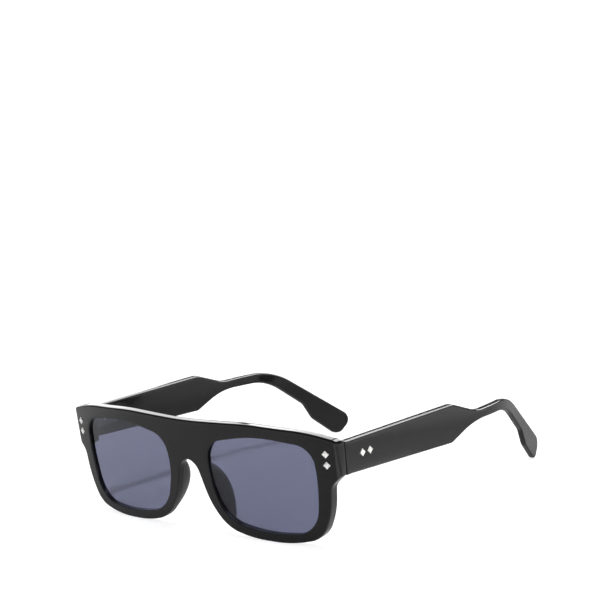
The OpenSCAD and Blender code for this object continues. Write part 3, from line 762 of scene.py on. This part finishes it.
def platedSilverPaintedSheen():
    # Nickel silver heads, stamped and silver plated: pale and bright, slightly blurred by the tumbling; the
    #     # brightness is mostly white paint, a painted sheen in place of the plate's reflection
    finish = silverFinishPaintedSheen
    material, tree = newMaterial("platedSilverPaintedSheen")
    place = addNode(tree, "ShaderNodeTexCoord")
    grain = addNode(tree, "ShaderNodeTexNoise", {}, finish["grain"], {"Vector": (place, "Object")})
    gloss = addNode(tree, "ShaderNodeMapRange", {}, finish["gloss"], {"Value": (grain, "Fac")})
    bump = addNode(tree, "ShaderNodeBump", {}, finish["relief"], {"Height": (grain, "Fac")})
    shader = addNode(tree, "ShaderNodeBsdfPrincipled", {}, finish["shader"],
                     {"Roughness": (gloss, "Result"), "Normal": (bump, "Normal")})
    addNode(tree, "ShaderNodeOutputMaterial", {}, {}, {"Surface": (shader, "BSDF")})
    return material


nickelFinish = {
    "drawn": (1.0, 0.06, 1.0),                     # the lines are stretched along y
    "lines": {"Scale": perMetre(0.12), "Detail": 3.0},
    "gloss": {"To Min": 0.24, "To Max": 0.42},
    "relief": {"Strength": 0.3, "Distance": 0.00002},
    "metallic": 1.0,
}


def brushedNickel(name, colour):
    # Nickel silver or steel, milled or drawn and brushed along its length: fine lines and a soft shine; the
    #     # tumbled hinge leaves are given a darker colour: painted shade, as they lie in shade behind the
    #     endpieces
    finish = nickelFinish
    material, tree = newMaterial(name)
    place = addNode(tree, "ShaderNodeTexCoord")
    drawn = addNode(tree, "ShaderNodeMapping", {}, {"Scale": finish["drawn"]}, {"Vector": (place, "Object")})
    lines = addNode(tree, "ShaderNodeTexNoise", {}, finish["lines"], {"Vector": (drawn, "Vector")})
    gloss = addNode(tree, "ShaderNodeMapRange", {}, finish["gloss"], {"Value": (lines, "Fac")})
    bump = addNode(tree, "ShaderNodeBump", {}, finish["relief"], {"Height": (lines, "Fac")})
    shader = addNode(tree, "ShaderNodeBsdfPrincipled", {},
                     {"Base Color": linear(colour), "Metallic": finish["metallic"]},
                     {"Roughness": (gloss, "Result"), "Normal": (bump, "Normal")})
    addNode(tree, "ShaderNodeOutputMaterial", {}, {}, {"Surface": (shader, "BSDF")})
    return material


frontAcetate = polishedAcetate("polishedFrontAcetate", "#0b0b0c", "#101011", 0.07, 3.0)
templeAcetate = polishedAcetate("polishedTempleAcetate", "#121213", "#181819", 0.09, 4.0)
padAcetate = polishedAcetate("tumbledPadAcetate", "#232326", "#2b2b2e", 0.22, 2.0)
lensTint = smokeTint()
silverPaintedSheen = platedSilverPaintedSheen()
# the hinge leaves' darker grey is painted shade
hingeNickelPaintedShade = brushedNickel("tumbledHingeNickelPaintedShade", "#77777a")
screwSteel = brushedNickel("turnedScrewSteel", "#cfcfcd")
coreSteel = brushedNickel("drawnCoreWire", "#a9a8a4")


def dress(pieces, material):
    # Each of these pieces gets this material alone
    for piece in pieces:
        piece.data.materials.clear()
        piece.data.materials.append(material)


dress([frontPiece], frontAcetate)
dress(templePieces, templeAcetate)
dress(padPieces, padAcetate)
dress(lensPieces, lensTint)
metalNodes = {"rivet": silverPaintedSheen, "hinge_leaf": hingeNickelPaintedShade, "hinge_screw": screwSteel, "core_wire": coreSteel}
for nodeName, node in frame["nodes"].items():
    for word, material in metalNodes.items():
        if word in nodeName:
            dress([node], material)
print("materials set")


# The camera, as fitted to the photograph: its place in millimetres, its angles in degrees
cameraPlace = {
    "at": (597.43, -638.49, 231.74),
    "azimuth": 43.281, "elevation": 9.925, "roll": -4.951,
    "lens": 129.456, "sensor": 36.0,
    "nearest": 0.01,          # metres in front of it, where its view starts
}


def placed(x, y, z, at):
    # Matrix of an object whose own axes point along x, y and z, and that stands at a place in metres
    matrix = np.eye(4)
    matrix[:3, :3] = np.stack([x, y, z], 1)
    matrix[:3, 3] = at
    return Matrix(matrix.tolist())


def placedCamera():
    # Turned by the azimuth about z, tipped down by the elevation, and rolled about its line of sight
    azimuth, elevation, roll = (math.radians(cameraPlace[k]) for k in ("azimuth", "elevation", "roll"))
    level = math.cos(elevation)
    ahead = np.array([-math.sin(azimuth) * level, math.cos(azimuth) * level, -math.sin(elevation)])
    levelRight = np.array([math.cos(azimuth), math.sin(azimuth), 0.0])
    levelUp = np.cross(levelRight, ahead)
    right = levelRight * math.cos(roll) + levelUp * math.sin(roll)
    up = levelUp * math.cos(roll) - levelRight * math.sin(roll)
    data = bpy.data.cameras.new("camera")
    data.lens = cameraPlace["lens"]
    data.sensor_width = cameraPlace["sensor"]
    data.clip_start = cameraPlace["nearest"]
    camera = bpy.data.objects.new("camera", data)
    camera.matrix_world = placed(right, up, -ahead, np.array(cameraPlace["at"]) * mm)
    bpy.context.scene.collection.objects.link(camera)
    return camera


bpy.context.scene.camera = placedCamera()
print("camera placed")


# The table, in metres: pure white to the camera beyond the contact shadows, and matt to all other light. The
# gloss and the lenses don't see that white: their greys, levels and cards are fitted to the photograph.
table = {
    "reach": 12.0,
    "cameraGrey": 0.36, "throughGrey": 0.72, "glossGrey": 0.15, "plainGrey": 0.8,
    "throughGlow": 0.07,
    "cameraGlow": {"From Min": 0.25, "From Max": 0.9, "To Min": 0.8, "To Max": 1.0},     # by distance
    "turn": 0.5,              # sideways is x and this share of y
    "sheenSpan": {"From Min": -0.3, "From Max": 0.3},        # sideways, the run of the sheen's levels
    "blackCard": {"From Min": 0.6, "From Max": 1.1, "To Min": 1.0, "To Max": 0.0},       # by y less x
    # a small white card to the wearer's left, which lights the outer wall of the rim
    "whiteNear": {"From Min": 0.015, "From Max": 0.025},     # its edges sideways,
    "whiteFar": {"From Min": 0.16, "From Max": 0.145},       # along x
    "whiteBack": {"From Min": -0.07, "From Max": -0.09},     # and along y less x
}
# Positions along the sheen's span and how bright the table is to the gloss there, fitted for this one view so
# that the spots that mirror them are about as bright as in the photograph
sheenLevels = [
    (0.05, 0.59), (0.09, 0.59), (0.147, 0.4), (0.213, 0.35), (0.267, 0.31), (0.333, 0.36), (0.44, 0.29),
    (0.51, 0.25), (0.62, 0.15), (0.68, 0.43), (0.71, 0.4), (0.77, 0.68), (0.855, 0.45), (0.88, 0.85),
    (0.92, 1.0)]


def tableShade(tree, grey, glowSize=None, strength=0.0):
    # Diffuse paint of one grey plus a glow of its own, as lit from below through a white table top
    paint = addNode(tree, "ShaderNodeBsdfDiffuse", {}, {"Color": (grey, grey, grey, 1)})
    glow = addNode(tree, "ShaderNodeEmission", {}, {"Color": (1, 1, 1, 1), "Strength": strength},
                   {"Strength": (glowSize, "Result")} if glowSize else {})
    return addNode(tree, "ShaderNodeAddShader", {}, {}, {0: (paint, "BSDF"), 1: (glow, "Emission")})


def tableSheen(tree, split):
    # Glow to the gloss: the levels times the black card, or where it is brighter the product of the white
    # card's three edges
    sideways = addNode(tree, "ShaderNodeMath", {"operation": "MULTIPLY_ADD"}, {1: table["turn"]},
                       {0: (split, "Y"), 2: (split, "X")})
    spread = addNode(tree, "ShaderNodeMapRange", {}, table["sheenSpan"], {"Value": (sideways, "Value")})
    sides = addNode(tree, "ShaderNodeValToRGB", {}, {}, {"Fac": (spread, "Result")})
    while len(sides.color_ramp.elements) < len(sheenLevels):
        sides.color_ramp.elements.new(0.5)
    for stop, (position, level) in zip(sides.color_ramp.elements, sheenLevels):
        stop.position = position
        stop.color = (level, level, level, 1)
    across = addNode(tree, "ShaderNodeMath", {"operation": "SUBTRACT"}, {},
                     {0: (split, "Y"), 1: (split, "X")})
    black = addNode(tree, "ShaderNodeMapRange", {}, table["blackCard"], {"Value": (across, "Value")})
    levels = addNode(tree, "ShaderNodeMath", {"operation": "MULTIPLY"}, {},
                     {0: (sides, "Color"), 1: (black, "Result")})
    near = addNode(tree, "ShaderNodeMapRange", {}, table["whiteNear"], {"Value": (sideways, "Value")})
    far = addNode(tree, "ShaderNodeMapRange", {}, table["whiteFar"], {"Value": (split, "X")})
    back = addNode(tree, "ShaderNodeMapRange", {}, table["whiteBack"], {"Value": (across, "Value")})
    strip = addNode(tree, "ShaderNodeMath", {"operation": "MULTIPLY"}, {},
                    {0: (near, "Result"), 1: (far, "Result")})
    white = addNode(tree, "ShaderNodeMath", {"operation": "MULTIPLY"}, {},
                    {0: (strip, "Value"), 1: (back, "Result")})
    brighter = addNode(tree, "ShaderNodeMath", {"operation": "MAXIMUM"}, {},
                       {0: (levels, "Value"), 1: (white, "Value")})
    return addNode(tree, "ShaderNodeMapRange", {}, {}, {"Value": (brighter, "Value")})


def tableMaterial():
    # One shade for each kind of ray, each mixed over the one before it
    material, tree = newMaterial("whiteTable")
    rays = addNode(tree, "ShaderNodeLightPath")
    place = addNode(tree, "ShaderNodeTexCoord")
    split = addNode(tree, "ShaderNodeSeparateXYZ", {}, {}, {"Vector": (place, "Object")})
    away = addNode(tree, "ShaderNodeVectorMath", {"operation": "LENGTH"}, {}, {0: (place, "Object")})
    cameraGlow = addNode(tree, "ShaderNodeMapRange", {}, table["cameraGlow"], {"Value": (away, "Value")})
    shades = {
        "Is Glossy Ray": tableShade(tree, table["glossGrey"], tableSheen(tree, split)),
        "Is Transmission Ray": tableShade(tree, table["throughGrey"], strength=table["throughGlow"]),
        "Is Camera Ray": tableShade(tree, table["cameraGrey"], cameraGlow),
    }
    mixed = tableShade(tree, table["plainGrey"])
    for ray, shade in shades.items():
        mixed = addNode(tree, "ShaderNodeMixShader", {}, {},
                        {0: (rays, ray), 1: (mixed, "Shader"), 2: (shade, "Shader")})
    addNode(tree, "ShaderNodeOutputMaterial", {}, {}, {"Surface": (mixed, "Shader")})
    return material


floorMesh = bpy.data.meshes.new("floor")
reach = table["reach"]
floorCorners = [(-reach, -reach, 0), (reach, -reach, 0), (reach, reach, 0), (-reach, reach, 0)]
floorMesh.from_pydata(floorCorners, [], [(0, 1, 2, 3)])
floorMesh.materials.append(tableMaterial())
floor = bpy.data.objects.new("floor", floorMesh)
bpy.context.scene.collection.objects.link(floor)
print("table laid")


# The studio round it: heights run from 0 level to 1 overhead
studio = {
    "white": 1.0,             # strength to the camera, straight and through a lens
    "soft": 0.6,              # strength on matt surfaces
    "wall": [(0.02, 0.8), (0.2, 0.12)],      # height and grey of what the gloss sees
}


def studioWorld():
    # White to the camera and through the lenses, a wall that darkens upwards to the gloss, even to the rest
    world = bpy.data.worlds.new("studio")
    world.use_nodes = True
    tree = world.node_tree
    tree.nodes.clear()
    rays = addNode(tree, "ShaderNodeLightPath")
    seen = addNode(tree, "ShaderNodeMath", {"operation": "MAXIMUM"}, {},
                   {0: (rays, "Is Camera Ray"), 1: (rays, "Is Transmission Ray")})
    place = addNode(tree, "ShaderNodeTexCoord")
    split = addNode(tree, "ShaderNodeSeparateXYZ", {}, {}, {"Vector": (place, "Generated")})
    ramp = addNode(tree, "ShaderNodeValToRGB", {}, {}, {"Fac": (split, "Z")})
    for stop, (height, grey) in zip(ramp.color_ramp.elements, studio["wall"]):
        stop.position = height
        stop.color = (grey, grey, grey, 1)
    wall = addNode(tree, "ShaderNodeBackground", {}, {"Strength": 1.0}, {"Color": (ramp, "Color")})
    soft = addNode(tree, "ShaderNodeBackground", {}, {"Color": (1, 1, 1, 1), "Strength": studio["soft"]})
    white = addNode(tree, "ShaderNodeBackground", {}, {"Color": (1, 1, 1, 1), "Strength": studio["white"]})
    sky = addNode(tree, "ShaderNodeMixShader", {}, {},
                  {0: (rays, "Is Glossy Ray"), 1: (soft, "Background"), 2: (wall, "Background")})
    mixed = addNode(tree, "ShaderNodeMixShader", {}, {},
                    {0: (seen, "Value"), 1: (sky, "Shader"), 2: (white, "Background")})
    addNode(tree, "ShaderNodeOutputWorld", {}, {}, {"Surface": (mixed, "Shader")})
    return world


bpy.context.scene.world = studioWorld()

# Soft boxes, in metres and watts; the first two aren't seen by the gloss, the last two light only it
softBoxes = {
    "overheadBox": {"at": (0.1, 0.1, 1.3), "aim": (0, 0, 0), "size": (1.4, 1.4), "watts": 3,
                    "hidden": "gloss"},
    "keyBox": {"at": (0.2, 0.1, 1.25), "aim": (0, 0, 0), "size": (0.26, 0.26), "watts": 13,
               "hidden": "gloss"},
    "backBox": {"at": (-1.599, 0.8075, 0.664), "aim": (0, 0, 0.03), "size": (0.94, 1.15), "watts": 10.5},
    "browBox": {"at": (-0.686, 0.797, 0.794), "aim": (0, 0, 0.03), "size": (0.31, 0.65), "watts": 3.4,
                "hidden": "matt"},
    "rimBox": {"at": (0.194, 0.915, 0.933), "aim": (0, 0, 0.03), "size": (0.88, 0.95), "watts": 27,
               "hidden": "matt"},
}


def softBox(name, at, aim, size, watts, hidden=None):
    # A rectangle of light whose back points from the aim to its place; its width lies level
    data = bpy.data.lights.new(name, "AREA")
    data.shape = "RECTANGLE"
    data.size, data.size_y = size
    data.energy = watts
    box = bpy.data.objects.new(name, data)
    away = np.array(at, float) - np.array(aim, float)
    away /= np.linalg.norm(away)
    side = np.cross([0, 0, 1.0], away)
    side /= np.linalg.norm(side)
    box.matrix_world = placed(side, np.cross(away, side), away, at)
    box.visible_glossy = hidden != "gloss"
    box.visible_diffuse = hidden != "matt"
    bpy.context.scene.collection.objects.link(box)


for boxName, boxValues in softBoxes.items():
    softBox(boxName, **boxValues)
bpy.context.scene.view_settings.view_transform = "Standard"
print("world and lights set")
